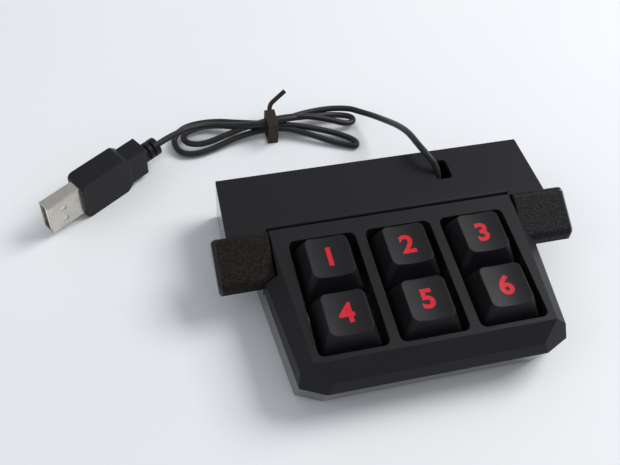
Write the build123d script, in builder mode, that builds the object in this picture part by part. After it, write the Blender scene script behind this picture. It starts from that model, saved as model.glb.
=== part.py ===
"""Six-key numeric keypad with two side arms, a rear housing and a USB lead.

Millimetres. X to the right, Y to the back, Z up, origin on the table below the middle of the housing.
"""
from build123d import *
import os
from math import cos, degrees, radians, sin, sqrt, tan

os.makedirs("parts", exist_ok=True)

# ---------------------------------------------------------------- driving dimensions
# Housing as a whole
body_depth = 74.8              # front edge to rear edge
deck_height = 20.0             # table to the flat deck round the keys
seam_drop = 8.0                # deck down to the joint between the two shells
shell_wall = 1.8
floor_thickness = 1.2
foot_height = 0.8
part_gap = 0.3                 # gap between neighbouring mouldings

# Keys
key_columns = 3
key_rows = 2
column_pitch = 23.4
row_pitch = 19.05
key_travel = 4.0
cap_base = 18.2
cap_top_width = 12.5
cap_top_length = 13.25
cap_top_shift = 0.4            # the finger face leans to the back
cap_above_deck = 3.9
cap_height = 8.0
cap_wall = 1.4
cap_base_radius = 1.0
cap_top_radius = 2.0
dish_radius = 28.0

# Openings in the deck
well_width = 20.4
well_length = 38.85
well_radius = 2.0
guard_wall = 1.6               # wall round the openings, under the deck
deck_thickness = 2.0

# Key housing outline, measured from the middle of the key field
deck_front = 20.9
deck_rear = 24.4
deck_front_half = 35.4
deck_rear_half = 38.3
bevel_drop = 4.4
bevel_front = 25.6
bevel_side_half = 41.4
skirt_front = 27.0
skirt_side_half = 42.1
skirt_front_half = 39.6
corner_half = 32.4             # where the corner facet meets the front edge
corner_front = 23.5            # where it meets the side edge
side_reference = 3.0           # how far behind the middle the side sizes are taken
undercut = 3.3                 # how far the lower shell draws in under the front edge
lip_inset = 0.4                # the lower shell stands in from the upper one

# Rear housing
rear_half_front = 50.7
rear_half_back = 50.0
rear_front = 24.8              # its front wall, behind the middle of the key field
rear_step = 26.0               # its cover stops here between the arms
cover_front_drop = 1.0         # top of the cover below the deck, at its front edge
cover_rear_drop = 2.2          # and at its rear edge
cover_thickness = 1.6
cover_edge_radius = 0.8
cover_rib = 1.2
cover_rib_depth = 2.0
slot_width = 5.2
slot_length = 8.0
slot_radius = 1.2
slot_x = 21.3
slot_front = 35.2              # behind the middle of the key field
slot_gap = 0.3                 # beside the lead

# Side arms
arm_front = 9.6
arm_rear = 24.5
arm_inner = 38.8
arm_outer = 54.4
arm_crest = 22.9
arm_crest_rise = 1.4           # crest above the deck
arm_back_drop = 0.4            # upper rear edge below the deck
arm_front_drop = 4.4           # upper front edge below the deck
arm_wall = 1.5
arm_crest_radius = 1.6
arm_front_radius = 2.2
arm_cap_thickness = 1.2
arm_cap_radius = 0.7
arm_plug = 2.5                 # how far an end cap reaches into its arm
plug_gap = 0.15
peg_diameter = 2.0
peg_length = 2.0
peg_spacing = 9.0
peg_inset = 1.5                # peg centre outside the inner face of the arm
shelf_width = 4.6
shelf_height = 3.0

# Key switches
plate_drop = 10.1              # deck down to the top of the switch plate
plate_thickness = 1.5
plate_border = 1.4
plate_hole = 14.0
plate_fit = 0.05
board_drop = 5.0               # switch plate top down to the circuit board
board_thickness = 1.6
board_half = 35.8
board_front = 19.5
board_rear = 31.0
board_corner = 4.0
switch_height = 6.6            # above the switch plate
switch_flange = 15.6
flange_thickness = 1.0
cover_base_width = 14.2
cover_top_width = 10.8
switch_wall = 1.0
switch_floor = 1.2
stem_width = 7.2
stem_length = 5.8
stem_height = 4.8
stem_clearance = 0.3
stem_leg_width = 8.4
stem_leg_height = 3.4
cross_size = 4.0
cross_width = 1.2
cross_height = 3.6
cross_clearance = 0.1
spring_bore = 4.6
spring_bore_depth = 3.6
spring_outer = 4.0
spring_inner = 3.2
guide_outer = 2.8
guide_bore = 2.0
guide_height = 4.9
guide_floor = 0.4
rod_diameter = 1.5
rod_length = 5.3
post_diameter = 5.5
pin_width = 1.0
pin_thickness = 0.3
pin_clearance = 0.1
pin_reach = 0.8                # below the circuit board
pin_spacing = 6.0
pin_row = 5.2                  # behind the middle of a switch
leaf_width = 2.4
leaf_height = 4.0

# Electronics
chip_size = 7.0
chip_height = 1.2
chip_x = -8.0
chip_y = 26.0
diode_length = 3.0
diode_width = 1.4
diode_height = 1.2
diode_gap = 0.5
header_width = 7.0
header_length = 5.0
header_height = 4.5
header_y = 27.5
wire_diameter = 0.8
wire_count = 4
wire_spacing = 1.3
wire_height = 3.5              # above the floor

# Fasteners and feet
screw_diameter = 2.0
screw_head = 3.8
screw_head_height = 1.5
screw_length = 6.0
screw_fit = 0.05               # round a shank in the boss it is driven into
screw_clearance = 0.2          # round a shank or a head that passes freely
screw_seat = 2.0
boss_diameter = 5.6
boss_collar = 0.6              # wider foot of a boss that carries the board
boss_drop = 12.6               # deck down to the face where upper and lower bosses meet
boss_passage = 0.3
board_screw_length = 3.2
board_screw_seat = 0.6         # skin left under a board screw
foot_diameter = 9.0
foot_recess = 0.5
foot_fit = 0.15

# Lead and plug
cord_diameter = 2.1
clamp_width = 9.0
clamp_length = 7.0
clamp_base_height = 4.0
clamp_height = 10.6
clamp_neck_low = 6.6
clamp_neck_top = 4.2
hank_height = 9.0
tie_width = 3.6
tie_thickness = 0.7
tie_gap = 0.15
tie_tail_diameter = 1.6
plug_heading = 213.0           # direction in which the plug points on the table
plug_x = -92.5
plug_y = 47.1
grip_width = 15.6              # the plug lies on its edge, so this stands upright
grip_thickness = 7.4
grip_length = 16.6
grip_shoulder = 2.0
neck_width = 11.6
neck_thickness = 6.4
neck_length = 25.6
relief_diameter = 6.2
relief_groove = 4.6
relief_length = 32.0
usb_width = 12.0
usb_thickness = 4.5
usb_length = 12.0
usb_sheet = 0.35
usb_window = 2.0
usb_window_place = 6.6
usb_window_spacing = 5.0
tongue_thickness = 1.9
tongue_short = 0.4             # tongue ends this far inside the mouth
tongue_gap = 0.05
contact_width = 1.0
contact_thickness = 0.2
contact_spacing = 2.2

# ---------------------------------------------------------------- places worked out from them
front_y = -body_depth / 2
rear_y = body_depth / 2
field_y = front_y + skirt_front                 # middle of the key field
deck_z = deck_height
seam_z = deck_z - seam_drop
base_z = foot_height                            # underside of the lower shell
floor_z = base_z + floor_thickness
plate_z = deck_z - plate_drop                   # top of the switch plate
board_z = plate_z - board_drop                  # top of the circuit board
board_low = board_z - board_thickness
switch_z = plate_z + switch_height              # top of a switch, and the shoulder of its stem
flange_z = plate_z + flange_thickness
well_floor_z = plate_z + part_gap               # lower edge of the walls round the openings
switch_floor_z = board_z + switch_floor
cap_top_z = deck_z + cap_above_deck
cap_base_z = cap_top_z - cap_height
dish_depth = dish_radius - sqrt(dish_radius**2 - (cap_top_width / 2) ** 2)
cap_ceiling_z = cap_top_z - dish_depth - cap_wall
boss_z = deck_z - boss_drop
cover_front_z = deck_z - cover_front_drop
cover_rear_z = deck_z - cover_rear_drop
rear_front_y = field_y + rear_front

column_places = [column_pitch * (i - (key_columns - 1) / 2) for i in range(key_columns)]
row_places = [field_y + row_pitch * ((key_rows - 1) / 2 - j) for j in range(key_rows)]
key_places = [(x, y) for y in row_places for x in column_places]
field_width = (key_columns - 1) * column_pitch + well_width
pad_screws = [(x, field_y + y) for x in (-column_pitch / 2, column_pitch / 2) for y in (-14.0, 14.0)]
rear_screws = [(x, field_y + y) for x in (-44.5, 44.5) for y in (30.0, 42.8)]
board_screws_at = [(x, field_y + y) for x in (-32.6, 32.6) for y in (-15.6, 18.0)]
feet_at = [(x, field_y + y) for x, y in ((-25.5, -16.5), (25.5, -16.5), (-36.0, 36.5), (36.0, 36.5))]
shelf_y = field_y + (arm_front + arm_rear) / 2
pegs_at = [(s * (arm_inner + peg_inset), shelf_y + y) for s in (-1, 1)
           for y in (-peg_spacing / 2, peg_spacing / 2)]


def finish(builder, name):
    """Label a finished piece and write it out."""
    builder.part.label = name
    export_step(builder.part, f"parts/{name}.step")


def facet(a, b, c):
    """Plane through three points of the housing, its normal pointing outwards."""
    normal = (Vector(*b) - Vector(*a)).cross(Vector(*c) - Vector(*a))
    middle = Vector(0, field_y + deck_rear, board_z)
    if normal.dot(Vector(*a) - middle) < 0:
        normal = normal * -1
    return Plane(origin=a, z_dir=normal)


def upper_facets():
    """Bevels, skirts and corner facets of the upper shell."""
    mid = deck_z - bevel_drop
    side = field_y + side_reference
    edge = field_y - deck_front
    fold = field_y - bevel_front
    faces = [facet((-1, edge, deck_z), (1, edge, deck_z), (0, fold, mid)),
             facet((-1, fold, mid), (1, fold, mid), (0, field_y - skirt_front, seam_z))]
    for s in (-1, 1):
        crease = (s * deck_front_half, edge, deck_z)
        low_corner = (s * skirt_front_half, field_y - corner_front, seam_z)
        bevel = (s * bevel_side_half, side, mid)
        faces.append(facet(crease, (s * deck_rear_half, field_y + deck_rear, deck_z), bevel))
        faces.append(facet(bevel, (s * skirt_side_half, side, seam_z), low_corner))
        faces.append(facet(crease, (s * corner_half, field_y - skirt_front, seam_z), low_corner))
    return faces


def lower_facets():
    """Undercut front, corners and sides of the lower shell under the keys."""
    front = field_y - skirt_front
    corner = field_y - corner_front
    faces = [facet((-1, front, seam_z), (1, front, seam_z), (0, front + undercut, base_z))]
    for s in (-1, 1):
        faces.append(facet((s * corner_half, front, seam_z), (s * skirt_front_half, corner, seam_z),
                           (s * corner_half, front + undercut, base_z)))
        faces.append(facet((s * skirt_front_half, corner, seam_z), (s * skirt_front_half, corner, base_z),
                           (s * skirt_side_half, field_y + side_reference, seam_z)))
    return faces


def rear_facets():
    """Four walls of the rear housing."""
    faces = [facet((-1, rear_y, 0), (1, rear_y, 0), (0, rear_y, 9)),
             Plane(origin=(0, rear_front_y, 0), z_dir=(0, -1, 0))]
    for s in (-1, 1):
        faces.append(facet((s * rear_half_front, rear_front_y, 0), (s * rear_half_back, rear_y, 0),
                           (s * rear_half_front, rear_front_y, 9)))
    return faces


def faceted_block(faces, inset, low, high, rear):
    """Block between two heights, cut by faces that are moved inwards by inset."""
    half = rear_half_front + 2
    with BuildPart() as block:
        with BuildSketch(Plane.XY.offset(low)):
            with Locations((0, (front_y - 1 + rear) / 2)):
                Rectangle(2 * half, rear - front_y + 1)
        extrude(amount=high - low)
        for face in faces:
            split(bisect_by=face.offset(-inset), keep=Keep.BOTTOM)
    return block.part


def beside_arms(inset, low, high):
    """Blocks where the upper shell is cut back for the arms."""
    start = field_y + arm_front - part_gap - inset
    inner = deck_rear_half - inset
    outer = rear_half_front
    with BuildPart() as blocks:
        with BuildSketch(Plane.XY.offset(low)):
            for s in (-1, 1):
                with Locations((s * (inner + outer) / 2, start + rear_y / 2)):
                    Rectangle(outer - inner, rear_y)
        extrude(amount=high - low)
    return blocks.part


cover_top = facet((-1, rear_front_y, cover_front_z), (1, rear_front_y, cover_front_z),
                  (0, rear_y, cover_rear_z))
cover_seat = cover_top.offset(-cover_thickness)

# ---------------------------------------------------------------- upper shell round the keys
shell_rear = field_y + deck_rear
outer_form = faceted_block(upper_facets(), 0, seam_z, deck_z, shell_rear)
inner_form = faceted_block(upper_facets(), shell_wall, seam_z - 1, deck_z - deck_thickness,
                           shell_rear - shell_wall)
outer_notch = beside_arms(0, seam_z - 1, deck_z + 1)
inner_notch = beside_arms(shell_wall, seam_z - 2, deck_z)

with BuildPart() as hollow:
    add(inner_form)
    add(inner_notch, mode=Mode.SUBTRACT)

with BuildPart() as top_housing:
    add(outer_form)
    add(outer_notch, mode=Mode.SUBTRACT)
    add(hollow.part, mode=Mode.SUBTRACT)
    # walls round the openings, and the bosses between them
    with BuildSketch(Plane.XY.offset(deck_z - deck_thickness)):
        with Locations((0, field_y)):
            RectangleRounded(field_width + 2 * guard_wall, well_length + 2 * guard_wall,
                             well_radius + guard_wall)
    extrude(amount=well_floor_z - deck_z + deck_thickness)
    with BuildSketch(Plane.XY.offset(boss_z)):
        with Locations(*pad_screws):
            Circle(boss_diameter / 2)
    extrude(amount=well_floor_z - boss_z)
    with BuildSketch(Plane.XY.offset(well_floor_z)):
        with Locations(*[(x, field_y) for x in column_places]):
            RectangleRounded(well_width, well_length, well_radius)
    extrude(amount=deck_z - well_floor_z + 1, mode=Mode.SUBTRACT)
    with BuildSketch(Plane.XY.offset(boss_z)):
        with Locations(*pad_screws):
            Circle(screw_diameter / 2 + screw_fit)
    extrude(amount=screw_length - screw_seat + screw_clearance, mode=Mode.SUBTRACT)
finish(top_housing, "top_housing")

# ---------------------------------------------------------------- lower shell, one tray under everything
lip_form = faceted_block(lower_facets(), lip_inset, base_z, seam_z, rear_front_y + shell_wall / 2)
lip_hollow = faceted_block(lower_facets(), lip_inset + shell_wall, floor_z, seam_z + 1,
                           rear_front_y + shell_wall + 1)
rear_form = faceted_block(rear_facets() + [cover_seat], 0, base_z, deck_z, rear_y + 1)
rear_hollow = faceted_block(rear_facets(), shell_wall, floor_z, deck_z + 1, rear_y + 1)

with BuildPart() as bottom_housing:
    add(lip_form)
    add(rear_form)
    add(lip_hollow, mode=Mode.SUBTRACT)
    add(rear_hollow, mode=Mode.SUBTRACT)
    # shelves that carry the arms
    with BuildSketch(Plane.XY.offset(seam_z - shelf_height)):
        for s in (-1, 1):
            with Locations((s * (arm_inner + peg_inset), shelf_y)):
                Rectangle(shelf_width, arm_rear - arm_front)
    extrude(amount=shelf_height)
    # bosses for the board and for the screws of the housing
    with BuildSketch(Plane.XY.offset(floor_z)):
        with Locations(*pad_screws):
            Circle(boss_diameter / 2 + boss_collar)
        with Locations(*board_screws_at):
            Circle(boss_diameter / 2)
    extrude(amount=board_low - floor_z)
    with BuildSketch(Plane.XY.offset(floor_z)):
        with Locations(*(pad_screws + rear_screws)):
            Circle(boss_diameter / 2)
    extrude(amount=boss_z - floor_z)
    with BuildSketch(Plane.XY.offset(base_z)):
        with Locations(*(pad_screws + rear_screws)):
            Circle(screw_head / 2 + screw_clearance)
    extrude(amount=boss_z - screw_seat - base_z, mode=Mode.SUBTRACT)
    with BuildSketch(Plane.XY.offset(base_z)):
        with Locations(*(pad_screws + rear_screws)):
            Circle(screw_diameter / 2 + screw_clearance)
    extrude(amount=boss_z - base_z + 1, mode=Mode.SUBTRACT)
    with BuildSketch(Plane.XY.offset(base_z + board_screw_seat)):
        with Locations(*board_screws_at):
            Circle(screw_diameter / 2 + screw_fit)
    extrude(amount=board_low - base_z, mode=Mode.SUBTRACT)
    with BuildSketch(Plane.XY.offset(seam_z)):
        with Locations(*pegs_at):
            Circle(peg_diameter / 2 + plug_gap)
    extrude(amount=-peg_length - plug_gap, mode=Mode.SUBTRACT)
    with BuildSketch(Plane.XY.offset(base_z)):
        with Locations(*feet_at):
            Circle(foot_diameter / 2 + foot_fit)
    extrude(amount=foot_recess, mode=Mode.SUBTRACT)
finish(bottom_housing, "bottom_housing")

# ---------------------------------------------------------------- cover of the rear housing
cover_form = faceted_block(rear_facets() + [cover_top], 0, boss_z, deck_z, rear_y + 1)
cover_void = faceted_block(rear_facets() + [cover_seat], 0, boss_z - 1, deck_z, rear_y + 1)
rib_outer = faceted_block(rear_facets() + [cover_top.offset(-cover_thickness / 2)],
                          shell_wall + part_gap, cover_rear_z - cover_thickness - cover_rib_depth,
                          deck_z, rear_y + 1)
rib_inner = faceted_block(rear_facets(), shell_wall + part_gap + cover_rib, boss_z, deck_z, rear_y + 1)

with BuildPart() as rib_ring:
    add(rib_outer)
    add(rib_inner, mode=Mode.SUBTRACT)

with BuildPart() as rear_cover:
    add(cover_form)
    add(cover_void, mode=Mode.SUBTRACT)
    with BuildSketch(Plane.XY.offset(boss_z)):
        with Locations((0, rear_front_y)):
            Rectangle(2 * arm_inner, 2 * (rear_step - rear_front))
    extrude(amount=deck_z - boss_z, mode=Mode.SUBTRACT)
    step_edges = rear_cover.edges().filter_by(Axis.X).group_by(Axis.Y)[1]
    fillet(step_edges.sort_by(Axis.Z)[-1], cover_edge_radius)
    add(rib_ring.part)
    with BuildSketch(Plane.XY.offset(boss_z)):
        with Locations(*rear_screws):
            Circle(boss_diameter / 2)
    extrude(amount=cover_rear_z - cover_thickness / 2 - boss_z)
    with BuildSketch(Plane.XY.offset(boss_z)):
        with Locations(*rear_screws):
            Circle(screw_diameter / 2 + screw_fit)
    extrude(amount=screw_length - screw_seat + screw_clearance, mode=Mode.SUBTRACT)
    with BuildSketch(Plane.XY.offset(boss_z)):
        with Locations((slot_x, field_y + slot_front + slot_length / 2)):
            RectangleRounded(slot_width, slot_length, slot_radius)
    extrude(amount=deck_z - boss_z, mode=Mode.SUBTRACT)
finish(rear_cover, "rear_cover")

# ---------------------------------------------------------------- side arms and their end caps


def arm_outline():
    """Corners of an arm's section, seen along X, in a plane whose x is Y and whose y is Z."""
    near = field_y + arm_front
    far = field_y + arm_rear
    return [(near, seam_z), (near, deck_z - arm_front_drop),
            (field_y + arm_crest, deck_z + arm_crest_rise), (far, deck_z - arm_back_drop), (far, seam_z)]


for side_name, s in (("left", -1), ("right", 1)):
    with BuildPart() as arm:
        with BuildSketch(Plane.YZ.offset(s * arm_inner)):
            with BuildLine():
                Polyline(*arm_outline(), close=True)
            make_face()
        extrude(amount=s * (arm_outer - arm_inner))
        fillet(arm.edges().filter_by(Axis.X).sort_by(Axis.Z)[-1], arm_crest_radius)
        fillet(arm.edges().filter_by(Axis.X).group_by(Axis.Y)[0].sort_by(Axis.Z)[-1], arm_front_radius)
        with BuildSketch(Plane.YZ.offset(s * (arm_inner + arm_wall))):
            with BuildLine():
                Polyline(*arm_outline(), close=True)
            make_face()
            offset(amount=-arm_wall, kind=Kind.INTERSECTION, mode=Mode.REPLACE)
        extrude(amount=s * (arm_outer - arm_inner), mode=Mode.SUBTRACT)
        with BuildSketch(Plane.XY.offset(seam_z)):
            with Locations(*[(x, y) for x, y in pegs_at if x * s > 0]):
                Circle(peg_diameter / 2)
        extrude(amount=-peg_length)
    finish(arm, f"{side_name}_arm")
    with BuildPart() as arm_cap:
        with BuildSketch(Plane.YZ.offset(s * arm_outer)):
            with BuildLine():
                Polyline(*arm_outline(), close=True)
            make_face()
        extrude(amount=s * arm_cap_thickness)
        fillet(arm_cap.edges().filter_by(Axis.X).sort_by(Axis.Z)[-1], arm_crest_radius)
        fillet(arm_cap.edges().filter_by(Axis.X).group_by(Axis.Y)[0].sort_by(Axis.Z)[-1], arm_front_radius)
        outer_face = arm_cap.faces().sort_by(Axis.X)[-1 if s > 0 else 0]
        chamfer(outer_face.edges(), arm_cap_radius)
        with BuildSketch(Plane.YZ.offset(s * arm_outer)):
            with BuildLine():
                Polyline(*arm_outline(), close=True)
            make_face()
            offset(amount=-(arm_wall + plug_gap), kind=Kind.INTERSECTION, mode=Mode.REPLACE)
        extrude(amount=-s * arm_plug)
    finish(arm_cap, f"{side_name}_arm_cap")

# ---------------------------------------------------------------- plate, board and what is on it
plate_width = (key_columns - 1) * column_pitch + switch_flange + 2 * plate_border
plate_length = (key_rows - 1) * row_pitch + switch_flange + 2 * plate_border
with BuildPart() as switch_plate:
    with BuildSketch(Plane.XY.offset(plate_z - plate_thickness)):
        with Locations((0, field_y)):
            RectangleRounded(plate_width, plate_length, plate_border)
        with Locations(*key_places):
            Rectangle(plate_hole, plate_hole, mode=Mode.SUBTRACT)
        with Locations(*pad_screws):
            Circle(boss_diameter / 2 + boss_passage, mode=Mode.SUBTRACT)
    extrude(amount=plate_thickness)
finish(switch_plate, "switch_plate")

pin_places = [(x + dx, y + pin_row) for x, y in key_places for dx in (-pin_spacing / 2, pin_spacing / 2)]
with BuildPart() as circuit_board:
    with BuildSketch(Plane.XY.offset(board_low)):
        with Locations((0, field_y + (board_rear - board_front) / 2)):
            RectangleRounded(2 * board_half, board_rear + board_front, board_corner)
        with Locations(*pin_places):
            Rectangle(pin_width + 2 * pin_clearance, pin_thickness + 2 * pin_clearance, mode=Mode.SUBTRACT)
        with Locations(*pad_screws):
            Circle(boss_diameter / 2 + boss_passage, mode=Mode.SUBTRACT)
        with Locations(*board_screws_at):
            Circle(screw_diameter / 2 + screw_clearance, mode=Mode.SUBTRACT)
    extrude(amount=board_thickness)
finish(circuit_board, "circuit_board")

with BuildPart() as controller_chip:
    with BuildSketch(Plane.XY.offset(board_z)):
        with Locations((chip_x, field_y + chip_y)):
            Rectangle(chip_size, chip_size)
    extrude(amount=chip_height)
    chamfer(controller_chip.edges().group_by(Axis.Z)[-1], chip_height / 5)
finish(controller_chip, "controller_chip")

diode_reach = plate_hole / 2 + diode_gap + diode_width / 2
diode_places = [(x, y + (diode_reach if y > field_y else -diode_reach)) for x, y in key_places]
with BuildPart() as board_diodes:
    with BuildSketch(Plane.XY.offset(board_z)):
        with Locations(*diode_places):
            Rectangle(diode_length, diode_width)
    extrude(amount=diode_height)
finish(board_diodes, "board_diodes")


clamp_x = slot_x - slot_width / 2 + cord_diameter / 2 + slot_gap
clamp_y = field_y + slot_front + 2.2
header_rear_y = field_y + header_y + header_length / 2
with BuildPart() as cable_header:
    with BuildSketch(Plane.XY.offset(board_z)):
        with Locations((clamp_x, field_y + header_y)):
            Rectangle(header_width, header_length)
    extrude(amount=header_height)
    chamfer(cable_header.edges().group_by(Axis.Z)[-1], header_height / 10)
finish(cable_header, "cable_header")

clamp_front_y = clamp_y - clamp_length / 2
wire_places = [clamp_x + wire_spacing * (i - (wire_count - 1) / 2) for i in range(wire_count)]
with BuildPart() as lead_wires:
    with BuildSketch(Plane.XZ.offset(-header_rear_y)):
        with Locations(*[(x, floor_z + wire_height) for x in wire_places]):
            Circle(wire_diameter / 2)
    extrude(amount=-(clamp_front_y - header_rear_y))
finish(lead_wires, "lead_wires")

with BuildPart() as cord_clamp:
    with BuildSketch(Plane.XY.offset(floor_z)):
        with Locations((clamp_x, clamp_y)):
            RectangleRounded(clamp_width, clamp_length, plate_border)
    extrude(amount=clamp_base_height)
    with BuildSketch(Plane.XY.offset(floor_z + clamp_base_height)):
        with Locations((clamp_x, clamp_y)):
            Circle(clamp_neck_low / 2)
    with BuildSketch(Plane.XY.offset(floor_z + clamp_height)):
        with Locations((clamp_x, clamp_y)):
            Circle(clamp_neck_top / 2)
    loft()
finish(cord_clamp, "cord_clamp")

# ---------------------------------------------------------------- screws and feet
with BuildPart() as housing_screws:
    with BuildSketch(Plane.XY.offset(boss_z - screw_seat)):
        with Locations(*(pad_screws + rear_screws)):
            Circle(screw_head / 2)
    extrude(amount=-screw_head_height)
    with BuildSketch(Plane.XY.offset(boss_z - screw_seat)):
        with Locations(*(pad_screws + rear_screws)):
            Circle(screw_diameter / 2)
    extrude(amount=screw_length)
finish(housing_screws, "housing_screws")

with BuildPart() as board_screws:
    with BuildSketch(Plane.XY.offset(board_z)):
        with Locations(*board_screws_at):
            Circle(screw_head / 2)
    extrude(amount=screw_head_height)
    with BuildSketch(Plane.XY.offset(board_z)):
        with Locations(*board_screws_at):
            Circle(screw_diameter / 2)
    extrude(amount=-board_screw_length)
finish(board_screws, "board_screws")

with BuildPart() as rubber_feet:
    with BuildSketch(Plane.XY):
        with Locations(*feet_at):
            Circle(foot_diameter / 2)
    extrude(amount=foot_height + foot_recess)
    chamfer(rubber_feet.edges().group_by(Axis.Z)[0], foot_height / 2)
finish(rubber_feet, "rubber_feet")

# ---------------------------------------------------------------- one key switch, about its own middle
with BuildPart() as switch_base:
    with BuildSketch(Plane.XY.offset(board_z)):
        RectangleRounded(plate_hole - 2 * plate_fit, plate_hole - 2 * plate_fit, switch_wall / 2)
    extrude(amount=plate_z - board_z)
    with BuildSketch(Plane.XY.offset(plate_z)):
        RectangleRounded(switch_flange, switch_flange, switch_wall)
    extrude(amount=flange_thickness)
    with BuildSketch(Plane.XY.offset(switch_floor_z)):
        Rectangle(plate_hole - 2 * plate_fit - 2 * switch_wall, plate_hole - 2 * plate_fit - 2 * switch_wall)
    extrude(amount=flange_z - switch_floor_z, mode=Mode.SUBTRACT)
    with BuildSketch(Plane.XY.offset(switch_floor_z)):
        Circle(guide_outer / 2)
    extrude(amount=guide_height)
    with BuildSketch(Plane.XY.offset(switch_floor_z - guide_floor)):
        Circle(guide_bore / 2)
    extrude(amount=guide_height + guide_floor, mode=Mode.SUBTRACT)
    with BuildSketch(Plane.XY.offset(board_z)):
        with Locations((-pin_spacing / 2, pin_row), (pin_spacing / 2, pin_row)):
            Rectangle(pin_width + 2 * pin_clearance, pin_thickness + 2 * pin_clearance)
    extrude(amount=switch_floor, mode=Mode.SUBTRACT)

with BuildPart() as switch_cover:
    with BuildSketch(Plane.XY.offset(flange_z)):
        RectangleRounded(cover_base_width, cover_base_width, switch_wall)
    with BuildSketch(Plane.XY.offset(switch_z)):
        RectangleRounded(cover_top_width, cover_top_width, switch_wall)
    loft()
    with BuildSketch(Plane.XY.offset(flange_z)):
        Rectangle(cover_base_width - 2 * switch_wall, cover_base_width - 2 * switch_wall)
    with BuildSketch(Plane.XY.offset(switch_z - switch_wall)):
        Rectangle(cover_top_width - 2 * switch_wall, cover_top_width - 2 * switch_wall)
    loft(mode=Mode.SUBTRACT)
    with BuildSketch(Plane.XY.offset(switch_z)):
        Rectangle(stem_width + 2 * stem_clearance, stem_length + 2 * stem_clearance)
    extrude(amount=-2 * switch_wall, mode=Mode.SUBTRACT)

stem_low = switch_z - stem_height
with BuildPart() as key_stem:
    with BuildSketch(Plane.XY.offset(stem_low)):
        Rectangle(stem_width, stem_length)
    extrude(amount=stem_height)
    with BuildSketch(Plane.XY.offset(stem_low)):
        Rectangle(stem_leg_width, stem_length)
    extrude(amount=stem_leg_height)
    with BuildSketch(Plane.XY.offset(stem_low)):
        Circle(spring_bore / 2)
    extrude(amount=spring_bore_depth, mode=Mode.SUBTRACT)
    with BuildSketch(Plane.XY.offset(stem_low + spring_bore_depth)):
        Circle(rod_diameter / 2)
    extrude(amount=-rod_length)
    with BuildSketch(Plane.XY.offset(switch_z)):
        Rectangle(cross_size, cross_width)
        Rectangle(cross_width, cross_size)
    extrude(amount=cross_height)

with BuildPart() as switch_spring:
    with BuildSketch(Plane.XY.offset(switch_floor_z)):
        Circle(spring_outer / 2)
        Circle(spring_inner / 2, mode=Mode.SUBTRACT)
    extrude(amount=stem_low + spring_bore_depth - switch_floor_z)

# ---------------------------------------------------------------- one keycap, about its own middle
with BuildPart() as keycap:
    with BuildSketch(Plane.XY.offset(cap_base_z)):
        RectangleRounded(cap_base, cap_base, cap_base_radius)
    with BuildSketch(Plane.XY.offset(cap_top_z)):
        with Locations((0, cap_top_shift)):
            RectangleRounded(cap_top_width, cap_top_length, cap_top_radius)
    loft()
    with BuildSketch(Plane.XZ.offset(-cap_base)):
        with Locations((0, cap_top_z - dish_depth + dish_radius)):
            Circle(dish_radius)
    extrude(amount=2 * cap_base, mode=Mode.SUBTRACT)
    with BuildSketch(Plane.XY.offset(cap_base_z)):
        Rectangle(cap_base - 2 * cap_wall, cap_base - 2 * cap_wall)
    with BuildSketch(Plane.XY.offset(cap_ceiling_z)):
        with Locations((0, cap_top_shift)):
            Rectangle(cap_top_width - cap_wall, cap_top_length - cap_wall)
    loft(mode=Mode.SUBTRACT)
    with BuildSketch(Plane.XY.offset(switch_z)):
        Circle(post_diameter / 2)
    extrude(amount=cap_ceiling_z - switch_z + cap_wall / 2)
    with BuildSketch(Plane.XY.offset(switch_z)):
        Rectangle(cross_size + 2 * cross_clearance, cross_width + 2 * cross_clearance)
        Rectangle(cross_width + 2 * cross_clearance, cross_size + 2 * cross_clearance)
    extrude(amount=cross_height + part_gap, mode=Mode.SUBTRACT)

key_pieces = (("keycap", keycap), ("key_stem", key_stem), ("switch_base", switch_base),
              ("switch_cover", switch_cover), ("switch_spring", switch_spring))
for number, place in enumerate(key_places, 1):
    for piece_name, piece in key_pieces:
        with BuildPart() as placed:
            with Locations((*place, 0)):
                add(piece.part)
        finish(placed, f"{piece_name}_{number}")

with BuildPart() as switch_contacts:
    with BuildSketch(Plane.XY.offset(board_low - pin_reach)):
        with Locations(*pin_places):
            Rectangle(pin_width, pin_thickness)
    extrude(amount=switch_floor_z - board_low + pin_reach)
    with BuildSketch(Plane.XY.offset(switch_floor_z)):
        with Locations(*pin_places):
            Rectangle(leaf_width, pin_thickness)
    extrude(amount=leaf_height)
finish(switch_contacts, "switch_contacts")

# ---------------------------------------------------------------- lead: tube, hank, tube, and its tie


def lead_radii(points):
    """Largest arc at each corner of a route: 0.45 of the shorter run over the tangent of half the turn."""
    radii = []
    for a, b, c in zip(points, points[1:], points[2:]):
        before = Vector(*b) - Vector(*a)
        after = Vector(*c) - Vector(*b)
        half_turn = radians(before.get_angle(after)) / 2
        radii.append(0.45 * min(before.length, after.length) / tan(half_turn))
    return radii


def lead_tube(name, points):
    """Round tube along straight runs joined by arcs."""
    radii = lead_radii(points)
    print(name, "radii", [round(r, 1) for r in radii])
    first = Vector(*points[1]) - Vector(*points[0])
    with BuildPart() as tube:
        with BuildLine() as route:
            FilletPolyline(*points, radius=radii)
        with BuildSketch(Plane(origin=points[0], z_dir=first)):
            Circle(cord_diameter / 2)
        sweep()
    length = route.wires()[0].length
    section = 3.14159265 * (cord_diameter / 2) ** 2
    print(name, "length", round(length, 1), "volume over section times length",
          round(tube.part.volume / (section * length), 4))
    finish(tube, name)


clamp_top_z = floor_z + clamp_height
lead_route = [(clamp_x, clamp_y, clamp_top_z), (clamp_x, clamp_y, 16.8), (19.3, 29.0, 20.3),
              (17.0, 31.9, 22.6), (15.2, 36.4, 23.0), (14.7, 43.6, 21.0), (14.1, 51.6, 16.3),
              (12.8, 59.3, 11.0), (10.5, 66.2, 6.9), (7.3, 70.9, 4.6), (3.9, 73.2, 4.6)]
lead_tube("usb_cord", lead_route)

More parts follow.
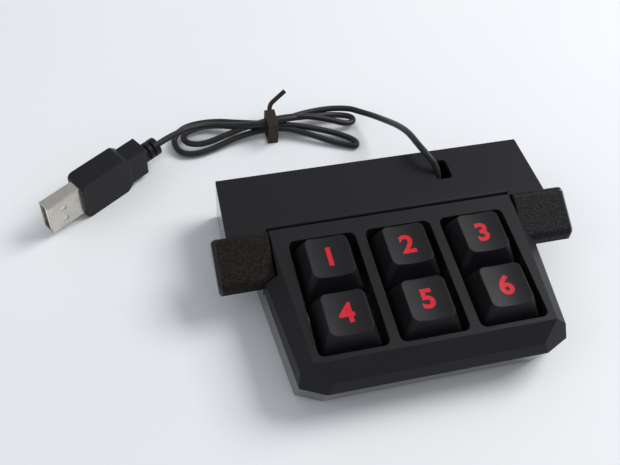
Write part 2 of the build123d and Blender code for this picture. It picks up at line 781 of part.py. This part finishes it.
plug_z = grip_width / 2
out_x = cos(radians(plug_heading))
out_y = sin(radians(plug_heading))
relief_end = (plug_x - relief_length * out_x, plug_y - relief_length * out_y, plug_z)
plug_route = [relief_end, (relief_end[0] - 4.6 * out_x, relief_end[1] - 4.6 * out_y, plug_z),
              (-57.4, 69.1, plug_z)]
lead_tube("usb_cord_end", plug_route)


def across(point, before, half_length):
    """Two corners of an upright face that a tube meets squarely."""
    run = Vector(point[0] - before[0], point[1] - before[1], 0).normalized()
    return [(point[0] + side * half_length * run.Y, point[1] - side * half_length * run.X)
            for side in (-1, 1)]


entry = across(lead_route[-1], lead_route[-2], 2.4)
departure = across(plug_route[-1], plug_route[-2], 2.6)
hank_outline = ([(4.4, 57.4), (5.2, 69.2)] + entry
                + [(-3.0, 77.0), (-14.0, 76.0), (-23.0, 73.6), (-27.4, 73.6), (-37.0, 77.5), (-48.0, 79.0),
                   (-57.5, 77.0), (-59.6, 73.8)] + departure
                + [(-58.6, 63.4), (-50.0, 62.6), (-38.0, 65.0), (-27.4, 65.2), (-23.0, 65.2),
                   (-12.0, 61.0)])
tie_x = -25.2                  # middle of the tie
waist_front = 66.4             # bundle under the tie
waist_back = 72.4
waist_low = 1.0
waist_high = 8.0
waist_y = (waist_front + waist_back) / 2
waist_z = (waist_low + waist_high) / 2
waist_depth = waist_back - waist_front
waist_height = waist_high - waist_low
tie_open = 2 * tie_gap
tie_over = 2 * tie_gap + 2 * tie_thickness

with BuildPart() as usb_cord_hank:
    with BuildSketch(Plane.XY):
        with BuildLine():
            Polyline(*hank_outline, close=True)
        make_face()
    extrude(amount=hank_height)
    with BuildSketch(Plane.YZ.offset(tie_x - tie_width / 2 - tie_gap)):
        with Locations((waist_y, waist_z)):
            Rectangle(3 * waist_depth, 3 * waist_height)
            Rectangle(waist_depth, waist_height, mode=Mode.SUBTRACT)
    extrude(amount=tie_width + 2 * tie_gap, mode=Mode.SUBTRACT)
finish(usb_cord_hank, "usb_cord_hank")

tail_points = [(tie_x, waist_back + tie_gap + tie_thickness / 2, 5.0), (-24.4, 76.0, 8.6),
               (-18.6, 78.6, 11.6)]
with BuildPart() as cable_tie:
    with BuildSketch(Plane.YZ.offset(tie_x - tie_width / 2)):
        with Locations((waist_y, waist_z)):
            Rectangle(waist_depth + tie_over, waist_height + tie_over)
            Rectangle(waist_depth + tie_open, waist_height + tie_open, mode=Mode.SUBTRACT)
    extrude(amount=tie_width)
    with BuildLine() as tail:
        FilletPolyline(*tail_points, radius=tie_tail_diameter * 2)
    with BuildSketch(Plane(origin=tail_points[0], z_dir=Vector(*tail_points[1]) - Vector(*tail_points[0]))):
        Circle(tie_tail_diameter / 2)
    sweep()
finish(cable_tie, "cable_tie")

# ---------------------------------------------------------------- plug, drawn about its own front face
out_dir = Vector(out_x, out_y, 0)
plug_origin = (plug_x, plug_y, plug_z)
plug_side = Plane(origin=plug_origin, x_dir=out_dir, z_dir=out_dir.cross(Vector(0, 0, 1)))
plug_mouth = Plane(origin=plug_origin, x_dir=(0, 0, 1), z_dir=out_dir)

with BuildPart() as plug_body:
    with BuildSketch(plug_side):
        with BuildLine():
            Polyline((0, -grip_width / 2), (-grip_length, -grip_width / 2),
                     (-grip_length - grip_shoulder, -neck_width / 2),
                     (-grip_length - grip_shoulder, neck_width / 2),
                     (-grip_length, grip_width / 2), (0, grip_width / 2), close=True)
        make_face()
    extrude(amount=grip_thickness / 2, both=True)
    fillet(plug_body.edges().filter_by(lambda e: abs(e.center().Z - plug_z) > neck_width / 2 + 0.1)
           .filter_by(Axis(plug_origin, out_dir.cross(Vector(0, 0, 1)))), grip_shoulder)
    with BuildSketch(plug_side):
        with Locations((-(grip_length + neck_length) / 2, 0)):
            Rectangle(neck_length - grip_length, neck_width)
    extrude(amount=neck_thickness / 2, both=True)
    with BuildSketch(plug_side):
        with BuildLine():
            Polyline((-neck_length + 1, 0), (-neck_length + 1, relief_diameter / 2),
                     (-neck_length - 1.4, relief_diameter / 2), (-neck_length - 1.4, relief_groove / 2),
                     (-neck_length - 2.2, relief_groove / 2), (-neck_length - 2.2, relief_diameter / 2),
                     (-neck_length - 3.6, relief_diameter / 2), (-neck_length - 3.6, relief_groove / 2),
                     (-neck_length - 4.4, relief_groove / 2), (-neck_length - 4.4, relief_diameter / 2),
                     (-relief_length, relief_diameter / 2), (-relief_length, 0), close=True)
        make_face()
    revolve(axis=Axis(plug_origin, out_dir))
finish(plug_body, "plug_body")

window_places = [(usb_window_place, side * usb_window_spacing / 2) for side in (-1, 1)]
with BuildPart() as plug_shell:
    with BuildSketch(plug_mouth):
        RectangleRounded(usb_width, usb_thickness, usb_sheet)
        Rectangle(usb_width - 2 * usb_sheet, usb_thickness - 2 * usb_sheet, mode=Mode.SUBTRACT)
    extrude(amount=usb_length)
    with BuildSketch(plug_side):
        with Locations(*window_places):
            Rectangle(usb_window, usb_window)
    extrude(amount=usb_thickness, both=True, mode=Mode.SUBTRACT)
finish(plug_shell, "plug_shell")

tongue_y = -(usb_thickness / 2 - usb_sheet - tongue_gap - tongue_thickness / 2)
with BuildPart() as plug_tongue:
    with BuildSketch(plug_mouth):
        with Locations((0, tongue_y)):
            Rectangle(usb_width - 2 * usb_sheet - 2 * tongue_gap, tongue_thickness)
    extrude(amount=usb_length - tongue_short)
finish(plug_tongue, "plug_tongue")

contact_y = tongue_y + tongue_thickness / 2 + contact_thickness / 2
with BuildPart() as plug_contacts:
    with BuildSketch(plug_mouth):
        with Locations(*[(contact_spacing * (i - 1.5), contact_y) for i in range(4)]):
            Rectangle(contact_width, contact_thickness)
    extrude(amount=usb_length - 3 * tongue_short)
finish(plug_contacts, "plug_contacts")
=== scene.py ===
"""Looks for the six-key numeric keypad: camera, light, lead, legends and finishes."""
import math

import bmesh
import bpy
from mathutils import Matrix, Vector


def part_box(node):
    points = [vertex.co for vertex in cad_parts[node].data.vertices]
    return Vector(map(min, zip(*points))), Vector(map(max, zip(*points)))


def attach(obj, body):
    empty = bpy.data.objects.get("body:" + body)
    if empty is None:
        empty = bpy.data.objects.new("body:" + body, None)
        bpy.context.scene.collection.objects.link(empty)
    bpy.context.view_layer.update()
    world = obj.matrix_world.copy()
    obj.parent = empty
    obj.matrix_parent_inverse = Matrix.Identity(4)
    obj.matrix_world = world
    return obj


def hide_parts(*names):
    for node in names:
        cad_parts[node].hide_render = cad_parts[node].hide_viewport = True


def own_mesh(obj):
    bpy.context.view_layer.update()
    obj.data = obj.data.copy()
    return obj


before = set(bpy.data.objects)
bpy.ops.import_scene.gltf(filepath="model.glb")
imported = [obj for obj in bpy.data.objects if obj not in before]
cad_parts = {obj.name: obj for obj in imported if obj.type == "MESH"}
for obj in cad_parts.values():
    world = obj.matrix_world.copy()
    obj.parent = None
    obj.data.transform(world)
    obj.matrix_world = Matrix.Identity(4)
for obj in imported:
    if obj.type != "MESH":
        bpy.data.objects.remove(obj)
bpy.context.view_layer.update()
MM = 0.001


# ------------------------------------------------------------------ shader building
class Value:
    """A number in a shader tree. Arithmetic on it adds Math nodes."""

    def __init__(self, finish, socket):
        self.finish = finish
        self.socket = socket

    def math(self, operation, *values, clamp=False):
        return self.finish.node("ShaderNodeMath", {"operation": operation, "use_clamp": clamp}, *values)

    def __add__(self, other):
        return self.math("ADD", self, other)

    def __radd__(self, other):
        return self.math("ADD", other, self)

    def __sub__(self, other):
        return self.math("SUBTRACT", self, other)

    def __rsub__(self, other):
        return self.math("SUBTRACT", other, self)

    def __mul__(self, other):
        return self.math("MULTIPLY", self, other)

    def __rmul__(self, other):
        return self.math("MULTIPLY", other, self)

    def clamp(self):
        return self.math("ADD", self, 0.0, clamp=True)


class Finish:
    """One material, built round a Principled shader."""

    def __init__(self, name, metallic=0.0, **plain):
        self.material = bpy.data.materials.new(name)
        self.material.use_nodes = True
        self.tree = self.material.node_tree
        self.shader = self.tree.nodes["Principled BSDF"]
        self.shader.inputs["Metallic"].default_value = metallic
        for socket, value in plain.items():
            self.shader.inputs[socket.replace("_", " ")].default_value = value

    def node(self, kind, settings=None, *inputs, out=0, **named):
        """Add a node: its settings first, then values or links for its sockets."""
        made = self.tree.nodes.new(kind)
        for key, value in (settings or {}).items():
            if key == "stops":
                ramp = made.color_ramp
                while len(ramp.elements) < len(value):
                    ramp.elements.new(0.5)
                for element, (place, colour) in zip(ramp.elements, value):
                    element.position = place
                    element.color = colour
            else:
                setattr(made, key, value)
        pairs = list(enumerate(inputs))
        pairs += [(key.replace("_", " "), value) for key, value in named.items()]
        for key, value in pairs:
            if isinstance(value, Value):
                self.tree.links.new(value.socket, made.inputs[key])
            elif value is not None:
                made.inputs[key].default_value = value
        return Value(self, made.outputs[out])

    def place(self, scale=(1, 1, 1)):
        """Object coordinates, scaled."""
        spot = self.node("ShaderNodeTexCoord", out="Object")
        return self.node("ShaderNodeMapping", {}, spot, Scale=scale)

    def noise(self, size, detail=2.0, spot=None, rough=0.5):
        """Noise with features of about that size in metres, from 0 to 1."""
        return self.node("ShaderNodeTexNoise", {}, Vector=spot or self.place(), Scale=1 / size,
                         Detail=detail, Roughness=rough)

    def cells(self, size, spot=None, feature="F1", smooth=0.0):
        """Distance inside rounded cells of about that size in metres."""
        if feature == "SMOOTH_F1":
            return self.node("ShaderNodeTexVoronoi", {"feature": feature}, Vector=spot or self.place(),
                             Scale=1 / size, Smoothness=smooth)
        return self.node("ShaderNodeTexVoronoi", {"feature": feature}, Vector=spot or self.place(),
                         Scale=1 / size)

    def step(self, value, low, high):
        """0 below low, 1 above high, smooth between."""
        return self.node("ShaderNodeMapRange", {"interpolation_type": "SMOOTHSTEP"}, value, low, high,
                         0.0, 1.0)

    def blend(self, amount, first, second):
        """Mix two colours by an amount."""
        made = self.tree.nodes.new("ShaderNodeMix")
        made.data_type = "RGBA"
        for key, value in ((0, amount), (6, first), (7, second)):
            if isinstance(value, Value):
                self.tree.links.new(value.socket, made.inputs[key])
            elif key == 0:
                made.inputs[key].default_value = value
            else:
                made.inputs[key].default_value = (*value[:3], 1)
        return Value(self, made.outputs[2])

    def edges(self, radius):
        """How sharply the surface turns within a radius: 0 on flats, up to 1 on edges."""
        soft = self.node("ShaderNodeBevel", {"samples": 6}, Radius=radius)
        sharp = self.node("ShaderNodeNewGeometry", out="True Normal")
        turn = self.node("ShaderNodeVectorMath", {"operation": "DOT_PRODUCT"}, soft, sharp, out="Value")
        return self.step(turn, 0.99, 0.75)

    def bump(self, height, depth, strength=1.0, soft_edge=0.0):
        """Normal from a height that varies by depth metres, over edges softened by a radius."""
        named = {"Height": height, "Strength": strength, "Distance": depth}
        if soft_edge:
            named["Normal"] = self.node("ShaderNodeBevel", {"samples": 6}, Radius=soft_edge)
        return self.node("ShaderNodeBump", {}, **named)

    def set(self, **links):
        """Feed the shader's sockets."""
        for key, value in links.items():
            socket = self.shader.inputs[key.replace("_", " ")]
            if isinstance(value, Value):
                self.tree.links.new(value.socket, socket)
            elif isinstance(value, tuple):
                socket.default_value = (*value[:3], 1)
            else:
                socket.default_value = value
        return self


# ------------------------------------------------------------------ finishes
def brighter(colour, times):
    return [times * part for part in colour]


def moulded(name, colour, worn, rough, texture, depth, gloss=0.0, edge=0.35):
    """Injection moulded plastic: texture and edge sizes in mm, faint handling marks."""
    finish = Finish(name, Coat_Weight=gloss, Coat_Roughness=0.08, Specular_IOR_Level=0.15)
    fine = finish.noise(texture * MM, 3.0)
    broad = finish.noise(14 * MM, 3.0)
    smudge = finish.step(finish.noise(6 * MM, 4.0, rough=0.65), 0.5, 0.75)
    wear = finish.edges(edge * MM) * finish.step(broad, 0.3, 0.7)
    shade = finish.blend(broad, colour, brighter(colour, 1.25))
    return finish.set(Base_Color=finish.blend(wear * 0.7, shade, worn),
                      Roughness=(rough + (fine - 0.5) * 0.12 + smudge * 0.05 - wear * 0.1).clamp(),
                      Normal=finish.bump(fine, depth * MM, 0.6, edge * MM)).material


def grained(name, colour, crest):
    """Plastic moulded with a leather grain: soft pebbles with darker valleys."""
    finish = Finish(name, Specular_IOR_Level=0.12)
    bent = finish.noise(2.2 * MM, 2.0)
    spot = finish.node("ShaderNodeVectorMath", {"operation": "ADD"}, finish.place(),
                       finish.node("ShaderNodeVectorMath", {"operation": "SCALE"},
                                   finish.node("ShaderNodeTexNoise", {}, Vector=finish.place(),
                                               Scale=600.0, out="Color"), Scale=0.0006))
    pebbles = finish.cells(0.75 * MM, spot, "SMOOTH_F1", 0.5)
    small = finish.cells(0.35 * MM, spot, "F1")
    relief = finish.step(pebbles, 0.75, 0.1) + small * 0.25
    wear = finish.edges(0.5 * MM)
    shade = finish.blend(finish.step(pebbles, 0.15, 0.7), crest, colour)
    return finish.set(Base_Color=finish.blend(wear * 0.5, shade, crest),
                      Roughness=(0.42 + pebbles * 0.15 + (bent - 0.5) * 0.1).clamp(),
                      Normal=finish.bump(relief, 0.055 * MM, 0.8, 0.4 * MM)).material


def rubbery(name, colour, rough=0.6):
    """Soft elastomer with a fine bloom."""
    finish = Finish(name, Sheen_Weight=0.1, Sheen_Roughness=0.5, Specular_IOR_Level=0.3)
    bloom = finish.noise(1.8 * MM, 4.0)
    pores = finish.noise(0.25 * MM, 2.0)
    return finish.set(Base_Color=finish.blend(bloom, colour, brighter(colour, 1.5)),
                      Roughness=(rough + (bloom - 0.5) * 0.15).clamp(),
                      Normal=finish.bump(pores, 0.02 * MM, 0.5, 0.15 * MM)).material


def metal(name, colour, rough, lines=(1, 1, 1), stain=None):
    """Bright sheet or wire: fine drawn lines along one direction and faint tarnish."""
    finish = Finish(name, metallic=1.0)
    drawn = finish.noise(0.3 * MM, 3.0, finish.place(lines))
    tarnish = finish.step(finish.noise(3.5 * MM, 4.0), 0.45, 0.75)
    wear = finish.edges(0.12 * MM)
    dull = stain or brighter(colour, 0.7)
    return finish.set(Base_Color=finish.blend(tarnish * 0.5 * (1 - wear), colour, dull),
                      Roughness=(rough + (drawn - 0.5) * 0.12 + tarnish * 0.1).clamp(),
                      Normal=finish.bump(drawn, 0.006 * MM, 0.5, 0.1 * MM)).material


def board():
    """Green solder mask over copper tracks."""
    finish = Finish("board_green", Coat_Weight=0.4, Coat_Roughness=0.15)
    grid = finish.node("ShaderNodeTexBrick", {"offset": 0.37}, Vector=finish.place(), Scale=160.0,
                       Mortar_Size=0.035, Brick_Width=1.7, Row_Height=0.35, out="Fac")
    weave = finish.node("ShaderNodeTexChecker", {}, Vector=finish.place(), Scale=2500.0, out="Fac")
    return finish.set(Base_Color=finish.blend(grid * 0.6, (0.012, 0.10, 0.045), (0.03, 0.19, 0.09)),
                      Roughness=(0.35 + weave * 0.05).clamp(),
                      Normal=finish.bump(grid + weave * 0.2, 0.03 * MM, 0.6)).material


def printed(name, colour):
    """Legend print: even ink with a slight orange peel."""
    finish = Finish(name, Specular_IOR_Level=0.2)
    peel = finish.noise(0.3 * MM, 2.0)
    worn = finish.step(finish.noise(1.2 * MM, 4.0), 0.62, 0.8)
    return finish.set(Base_Color=finish.blend(worn * 0.25, colour, brighter(colour, 0.6)),
                      Roughness=(0.42 + (peel - 0.5) * 0.2).clamp(),
                      Normal=finish.bump(peel, 0.01 * MM, 0.5)).material


def key_plastic():
    """Keycap: crisp spark texture, polished where fingers rest."""
    finish = Finish("keycap_black", Specular_IOR_Level=0.2)
    fine = finish.noise(0.22 * MM, 3.0)
    broad = finish.noise(9 * MM, 3.0)
    up = finish.node("ShaderNodeSeparateXYZ", {}, finish.node("ShaderNodeNewGeometry", out="Normal"),
                     out="Z")
    polish = finish.step(up, 0.9, 0.99) * finish.step(broad, 0.35, 0.65)
    wear = finish.edges(0.55 * MM)
    shade = finish.blend(broad, (0.0085, 0.0082, 0.0102), (0.0115, 0.011, 0.0135))
    return finish.set(Base_Color=finish.blend(wear * 0.45, shade, (0.04, 0.039, 0.042)),
                      Roughness=(0.46 + (fine - 0.5) * 0.14 - polish * 0.07 - wear * 0.06).clamp(),
                      Normal=finish.bump(fine, 0.03 * MM, 0.6, 0.5 * MM)).material


satin_black = moulded("satin_black", (0.0125, 0.012, 0.0145), (0.05, 0.048, 0.052), 0.44, 0.3, 0.03)
gloss_black = moulded("gloss_black", (0.008, 0.008, 0.009), (0.03, 0.03, 0.033), 0.14, 0.5,
                      0.004, gloss=0.5, edge=0.25)
plug_black = moulded("plug_black", (0.012, 0.012, 0.014), (0.04, 0.04, 0.044), 0.36, 0.35,
                     0.02, edge=0.5)
component_black = moulded("component_black", (0.02, 0.02, 0.021), (0.05, 0.05, 0.05), 0.55,
                          0.2, 0.03, edge=0.1)
switch_black = moulded("switch_black", (0.013, 0.013, 0.014), (0.04, 0.04, 0.04), 0.4, 0.3,
                       0.015, edge=0.15)
header_white = moulded("header_white", (0.75, 0.72, 0.65), (0.85, 0.83, 0.8), 0.45, 0.3, 0.02, edge=0.1)
tongue_white = moulded("tongue_white", (0.82, 0.82, 0.8), (0.9, 0.9, 0.9), 0.4, 0.3, 0.01, edge=0.1)
wire_grey = moulded("wire_grey", (0.2, 0.2, 0.22), (0.3, 0.3, 0.3), 0.45, 0.3, 0.01, edge=0.05)
stem_brown = moulded("stem_brown", (0.14, 0.06, 0.025), (0.25, 0.13, 0.07), 0.38, 0.3, 0.01, edge=0.1)
tie_brown = moulded("tie_brown", (0.03, 0.02, 0.014), (0.08, 0.06, 0.045), 0.4, 0.4, 0.03, edge=0.2)
# The left arm's grain is a lighter, browner copy of the right arm's grain: its crest colour is a
# painted highlight.
grain_left_painted_highlight = grained("grained_brown_painted_highlight", (0.0065, 0.0052, 0.005), (0.021, 0.0145, 0.0115))
grain_right = grained("grained_black", (0.006, 0.006, 0.007), (0.0145, 0.014, 0.0175))
cord_black = rubbery("cord_black", (0.011, 0.011, 0.012), 0.42)
cord_rubber = rubbery("cord_rubber", (0.013, 0.013, 0.013))
foot_rubber = rubbery("foot_rubber", (0.02, 0.02, 0.02), 0.75)
plate_steel = metal("plate_steel", (0.58, 0.58, 0.6), 0.35, (1, 12, 1))
screw_steel = metal("screw_steel", (0.55, 0.54, 0.52), 0.3)
spring_steel = metal("spring_steel", (0.7, 0.7, 0.72), 0.22)
plug_metal = metal("plug_metal", (0.62, 0.59, 0.54), 0.26, (10, 10, 1), (0.5, 0.46, 0.38))
contact_brass = metal("contact_brass", (0.85, 0.66, 0.32), 0.25)
keycap_black = key_plastic()
board_green = board()
legend_red = printed("legend_red", (0.60, 0.014, 0.028))

node_finish = {
    "top_housing": satin_black, "rear_cover": satin_black, "bottom_housing": gloss_black,
    "left_arm": grain_left_painted_highlight, "right_arm": grain_right, "left_arm_cap": gloss_black,
    "right_arm_cap": gloss_black,
    "switch_plate": plate_steel, "circuit_board": board_green, "controller_chip": component_black,
    "board_diodes": component_black, "cable_header": header_white, "lead_wires": wire_grey,
    "cord_clamp": cord_rubber, "housing_screws": screw_steel, "board_screws": screw_steel,
    "rubber_feet": foot_rubber, "switch_contacts": contact_brass, "usb_cord": cord_black,
    "usb_cord_hank": cord_black, "usb_cord_end": cord_black, "cable_tie": tie_brown,
    "plug_body": plug_black,
    "plug_shell": plug_metal, "plug_tongue": tongue_white, "plug_contacts": contact_brass,
    "keycap": keycap_black, "key_stem": stem_brown, "switch_base": switch_black,
    "switch_cover": switch_black,
    "switch_spring": spring_steel,
}
for node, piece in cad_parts.items():
    family = node if node in node_finish else node.rsplit("_", 1)[0]
    piece.data.materials.clear()
    piece.data.materials.append(node_finish[family])


# ------------------------------------------------------------------ making pieces
def piece_from(shape, name, material, body):
    """Turn a bmesh into a piece that rides on a body."""
    mesh = bpy.data.meshes.new(name)
    shape.to_mesh(mesh)
    shape.free()
    made = bpy.data.objects.new(name, mesh)
    bpy.context.scene.collection.objects.link(made)
    mesh.materials.append(material)
    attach(made, body)
    return made


def spline_piece(name, points, radius, material, body):
    """A round cord along one smooth line through a route's control points."""
    curve = bpy.data.curves.new(name, "CURVE")
    curve.dimensions = "3D"
    curve.bevel_depth = radius
    curve.bevel_resolution = 6
    curve.use_fill_caps = True
    curve.resolution_u = 10
    line = curve.splines.new("NURBS")
    line.points.add(len(points) - 1)
    for knot, place in zip(line.points, points):
        knot.co = (*place, 1)
    line.order_u = 3
    line.use_endpoint_u = True
    made = bpy.data.objects.new(name, curve)
    bpy.context.scene.collection.objects.link(made)
    curve.materials.append(material)
    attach(made, body)
    return made


# ------------------------------------------------------------------ the lead
cord_radius = 1.05 * MM
clamp_low, clamp_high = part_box("cord_clamp")
exit_point = Vector(((clamp_low[0] + clamp_high[0]) / 2, (clamp_low[1] + clamp_high[1]) / 2,
                     clamp_high[2]))
out_of_slot = [(20.0, 27.0, 16.8), (19.3, 29.0, 20.3), (17.0, 31.9, 22.6), (15.2, 36.4, 23.0),
               (14.7, 43.6, 21.0), (14.1, 51.6, 16.3), (12.8, 59.3, 11.0), (10.5, 66.2, 6.9),
               (7.3, 70.9, 4.6), (3.9, 73.2, 4.6)]
strands = [
    # first strand back through the tie
    (-4.0, 74.6, 4.4), (-13.0, 73.4, 4.8), (-20.0, 71.2, 5.4), (-27.0, 70.4, 5.2),
    # left loop, first turn
    (-35.0, 73.0, 4.4), (-45.0, 77.0, 3.0), (-55.0, 76.6, 2.4), (-59.6, 71.4, 2.0), (-58.0, 65.4, 1.6),
    (-53.0, 63.9, 1.4), (-46.0, 65.4, 1.6), (-37.0, 68.4, 2.6), (-28.0, 69.4, 3.4), (-20.0, 68.6, 3.6),
    # right lower loop
    (-12.0, 65.0, 2.6), (-5.0, 61.2, 1.5), (0.6, 58.8, 1.2), (3.2, 57.8, 1.2), (3.6, 60.8, 1.2),
    (-3.0, 65.0, 1.8), (-12.0, 68.0, 3.2), (-20.0, 69.6, 4.4), (-28.0, 70.0, 4.6),
    # left loop, second turn
    (-36.0, 71.8, 3.6), (-44.0, 75.2, 2.6), (-51.0, 75.4, 2.2), (-56.2, 71.8, 3.2), (-55.0, 67.6, 3.2),
    (-49.0, 66.6, 3.0), (-40.0, 68.8, 4.4), (-30.0, 70.6, 5.8), (-21.0, 71.4, 6.2),
    # right upper loop
    (-13.0, 71.2, 5.8), (-5.0, 69.8, 4.2), (1.8, 67.6, 2.6), (5.0, 68.8, 2.2), (4.4, 71.4, 2.4),
    (-2.0, 72.8, 2.8), (-11.0, 71.8, 4.6), (-20.0, 70.2, 6.6), (-29.0, 69.2, 6.6),
    # out to the plug
    (-38.0, 70.6, 6.0), (-46.0, 72.4, 6.2), (-53.4, 70.9, 7.4),
]
plug_turn = math.radians(213)
out_x, out_y = math.cos(plug_turn), math.sin(plug_turn)
plug_x, plug_y, plug_z = -92.5, 47.1, 7.8
relief_length = 32
straight_run = 4.6  # lead in line with the plug's relief
relief_end = (plug_x - relief_length * out_x, plug_y - relief_length * out_y, plug_z)
last_bend = (relief_end[0] - straight_run * out_x, relief_end[1] - straight_run * out_y, plug_z)
to_plug = [(-57.4, 69.1, plug_z), last_bend, relief_end]
route = [exit_point] + [Vector(p) * MM for p in out_of_slot + strands + to_plug]
lead = spline_piece("usb_lead", route, cord_radius, cord_black, "housing")
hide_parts("usb_cord", "usb_cord_hank", "usb_cord_end")


# ------------------------------------------------------------------ numbers on the keys
dish_radius = 28.0 * MM
key_top_width = 12.5 * MM
key_top_shift = 0.4 * MM  # the key's face lies behind the middle of its foot
dish_depth = dish_radius - math.sqrt(dish_radius**2 - (key_top_width / 2)**2)
ink = 0.012 * MM
digit_height = 8.6 * MM
digit_boldness = 0.27 * MM
strip = 0.5 * MM  # width of the strips that let a digit bend with the dish


def legend(number):
    """One digit printed on the dished face of a key."""
    low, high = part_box(f"keycap_{number}")
    middle = ((low[0] + high[0]) / 2, (low[1] + high[1]) / 2 + key_top_shift)
    text = bpy.data.curves.new("digit", "FONT")
    text.body = str(number)
    text.align_x = "CENTER"
    text.align_y = "CENTER"
    text.size = digit_height
    text.offset = digit_boldness
    text.resolution_u = 6
    holder = bpy.data.objects.new("digit", text)
    bpy.context.scene.collection.objects.link(holder)
    flat = bpy.data.meshes.new_from_object(holder.evaluated_get(bpy.context.evaluated_depsgraph_get()))
    shape = bmesh.new()
    shape.from_mesh(flat)
    bpy.data.objects.remove(holder)
    bmesh.ops.remove_doubles(shape, verts=shape.verts, dist=0.001 * MM)
    bmesh.ops.triangulate(shape, faces=shape.faces)
    for i in range(-8, 9):
        bmesh.ops.bisect_plane(shape, geom=shape.verts[:] + shape.edges[:] + shape.faces[:],
                               plane_co=(i * strip, 0, 0), plane_no=(1, 0, 0))
    middle_height = (max(v.co.y for v in shape.verts) + min(v.co.y for v in shape.verts)) / 2
    for v in shape.verts:
        across = v.co.x
        rise = dish_radius - math.sqrt(dish_radius**2 - across**2)
        v.co.z = high[2] - dish_depth + rise + ink
        v.co.x = across + middle[0]
        v.co.y = v.co.y - middle_height + middle[1]
    bmesh.ops.recalc_face_normals(shape, faces=shape.faces)
    piece_from(shape, f"legend_{number}", legend_red, f"key_{number}")


for number in range(1, 7):
    legend(number)


# ------------------------------------------------------------------ springs
def coil(number):
    """Wire spring of a switch, in the place of its plain tube, at its full length."""
    low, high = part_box(f"switch_spring_{number}")
    x, y = (low[0] + high[0]) / 2, (low[1] + high[1]) / 2
    wire = 0.2 * MM
    radius = (high[0] - low[0]) / 2 - wire
    turns, steps = 9, 14
    rise = high[2] - low[2] - 2 * wire
    shape = bmesh.new()
    ring = bmesh.ops.create_circle(shape, segments=6, radius=wire, cap_ends=True)
    bmesh.ops.rotate(shape, verts=ring["verts"], cent=(0, 0, 0),
                     matrix=Matrix.Rotation(math.pi / 2, 3, "X"))
    bmesh.ops.translate(shape, verts=ring["verts"], vec=(radius, 0, 0))
    bmesh.ops.spin(shape, geom=shape.verts[:] + shape.edges[:] + shape.faces[:], cent=(0, 0, 0),
                   axis=(0, 0, 1),
                   dvec=(0, 0, rise / (turns * steps)), angle=2 * math.pi * turns, steps=turns * steps)
    bmesh.ops.remove_doubles(shape, verts=shape.verts, dist=0.001 * MM)
    bmesh.ops.translate(shape, verts=shape.verts, vec=(x, y, low[2] + wire))
    bmesh.ops.recalc_face_normals(shape, faces=shape.faces)
    made = piece_from(shape, f"spring_wire_{number}", spring_steel, "housing")
    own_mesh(made)
    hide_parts(f"switch_spring_{number}")


for number in range(1, 7):
    coil(number)

# ------------------------------------------------------------------ table, camera and light
shape = bmesh.new()
bmesh.ops.create_grid(shape, x_segments=2, y_segments=2, size=3.0)
table = Finish("pale_table", Specular_IOR_Level=0.25)
cloth = table.noise(1.4 * MM, 3.0)
wide = table.noise(120 * MM, 2.0)
table.set(Base_Color=table.blend(wide, (0.80, 0.83, 0.86), (0.86, 0.87, 0.88)), Roughness=0.62,
          Normal=table.bump(cloth, 0.08 * MM, 0.35))
mesh = bpy.data.meshes.new("table_top")
shape.to_mesh(mesh)
shape.free()
table_top = bpy.data.objects.new("table_top", mesh)
bpy.context.scene.collection.objects.link(table_top)
mesh.materials.append(table.material)
table_top.location.z = -0.02 * MM

camera = bpy.data.cameras.new("camera")
camera.lens = 49.98
camera.sensor_width = 36.0
camera.clip_start = 0.01
viewer = bpy.data.objects.new("camera", camera)
right = Vector((0.97055, -0.23276, 0.06209))
up = Vector((0.15161, 0.79046, 0.59345))
viewer.matrix_world = (Matrix.Translation((-0.07387, -0.13314, 0.22435))
                       @ Matrix((right, up, right.cross(up))).transposed().to_4x4())
bpy.context.scene.collection.objects.link(viewer)
bpy.context.scene.camera = viewer


def lamp(name, place, aim, size, power, colour=(1, 1, 1)):
    """A soft square lamp that faces a point."""
    light = bpy.data.lights.new(name, "AREA")
    light.size = size
    light.energy = power
    light.color = colour
    made = bpy.data.objects.new(name, light)
    made.location = place
    made.rotation_euler = (Vector(aim) - Vector(place)).to_track_quat("-Z", "Y").to_euler()
    bpy.context.scene.collection.objects.link(made)


lamp("lamp_over", (0.75, 0.2, 0.85), (0, 0, 0), 0.6, 9.6, (1.0, 0.99, 0.98))
lamp("lamp_side", (-0.9, -0.1, 0.6), (0, 0, 0), 0.6, 1.2, (0.95, 0.97, 1.0))

world = bpy.data.worlds.new("room")
bpy.context.scene.world = world
world.use_nodes = True
sky = world.node_tree.nodes["Background"]
sky.inputs["Color"].default_value = (0.93, 0.96, 1.0, 1)
sky.inputs["Strength"].default_value = 0.5
bpy.context.scene.view_settings.view_transform = "Standard"
